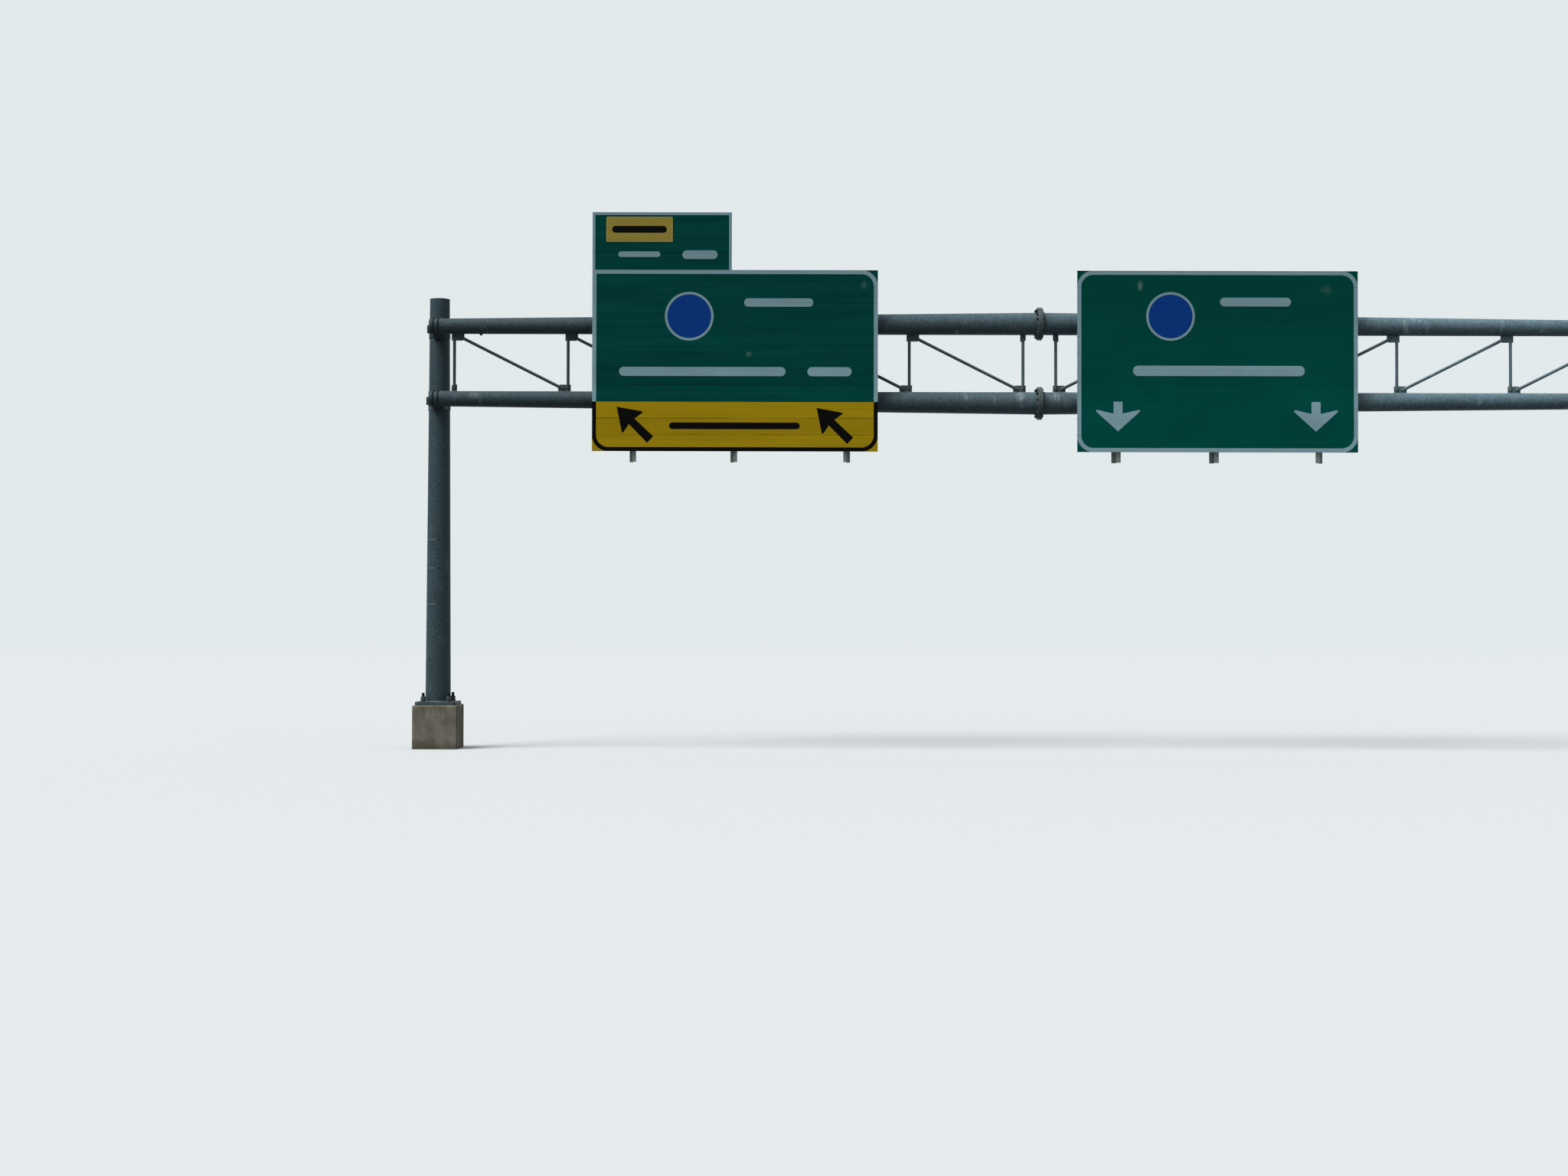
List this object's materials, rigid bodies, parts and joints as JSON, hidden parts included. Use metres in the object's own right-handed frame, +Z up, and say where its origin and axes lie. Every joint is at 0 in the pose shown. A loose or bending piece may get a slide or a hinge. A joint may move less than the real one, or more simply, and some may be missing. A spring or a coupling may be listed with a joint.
{
  "type": "overhead sign gantry",
  "caption": "Overhead road sign gantry: flat truss of tapered round chords clamped to a tapered pole at each end, carrying two hanging guide signs made of planks.",
  "frame": {"origin": "middle of the left footing's underside, on the left pole's axis", "axes": "+Z up, +X along the span from the left pole to the right pole, -Y the way the signs face"},
  "size_m": [23.34, 1.2376, 9.9482],
  "materials": {
    "concrete": "matte",
    "galvanised_steel": "matte",
    "steel_hardware": "matte",
    "hanger_aluminium": "matte",
    "green_sheeting": "satin",
    "yellow_sheeting": "satin"
  },
  "bodies": {
    "root": {"left_footing": "concrete", "right_footing": "concrete", "left_base_plate": "galvanised_steel", "right_base_plate": "galvanised_steel", "left_anchor_bolts": "steel_hardware", "right_anchor_bolts": "steel_hardware", "left_pole": "galvanised_steel", "right_pole": "galvanised_steel", "pole_caps": "galvanised_steel", "left_upper_saddle": "galvanised_steel", "left_lower_saddle": "galvanised_steel", "right_upper_saddle": "galvanised_steel", "right_lower_saddle": "galvanised_steel", "left_rear_bands": "galvanised_steel", "right_rear_bands": "galvanised_steel", "ear_bolts": "steel_hardware", "saddle_u_bolts": "steel_hardware", "left_upper_chord": "galvanised_steel", "left_lower_chord": "galvanised_steel", "right_upper_chord": "galvanised_steel", "right_lower_chord": "galvanised_steel", "chord_end_caps": "galvanised_steel", "cable_plug": "steel_hardware", "upper_splice_flanges": "galvanised_steel", "lower_splice_flanges": "galvanised_steel", "splice_bolts": "steel_hardware", "upper_gussets": "galvanised_steel", "lower_gussets": "galvanised_steel", "left_verticals": "galvanised_steel", "right_verticals": "galvanised_steel", "left_diagonals": "galvanised_steel", "right_diagonals": "galvanised_steel", "exit_sign_planks": "green_sheeting", "lane_band_planks": "yellow_sheeting", "exit_tab_planks": "green_sheeting", "through_sign_planks": "green_sheeting", "exit_sign_hangers": "hanger_aluminium", "through_sign_hangers": "hanger_aluminium", "exit_tab_post": "hanger_aluminium", "exit_hanger_seats": "steel_hardware", "through_hanger_seats": "steel_hardware", "hanger_u_bolts": "steel_hardware"}
  },
  "joints": []
}
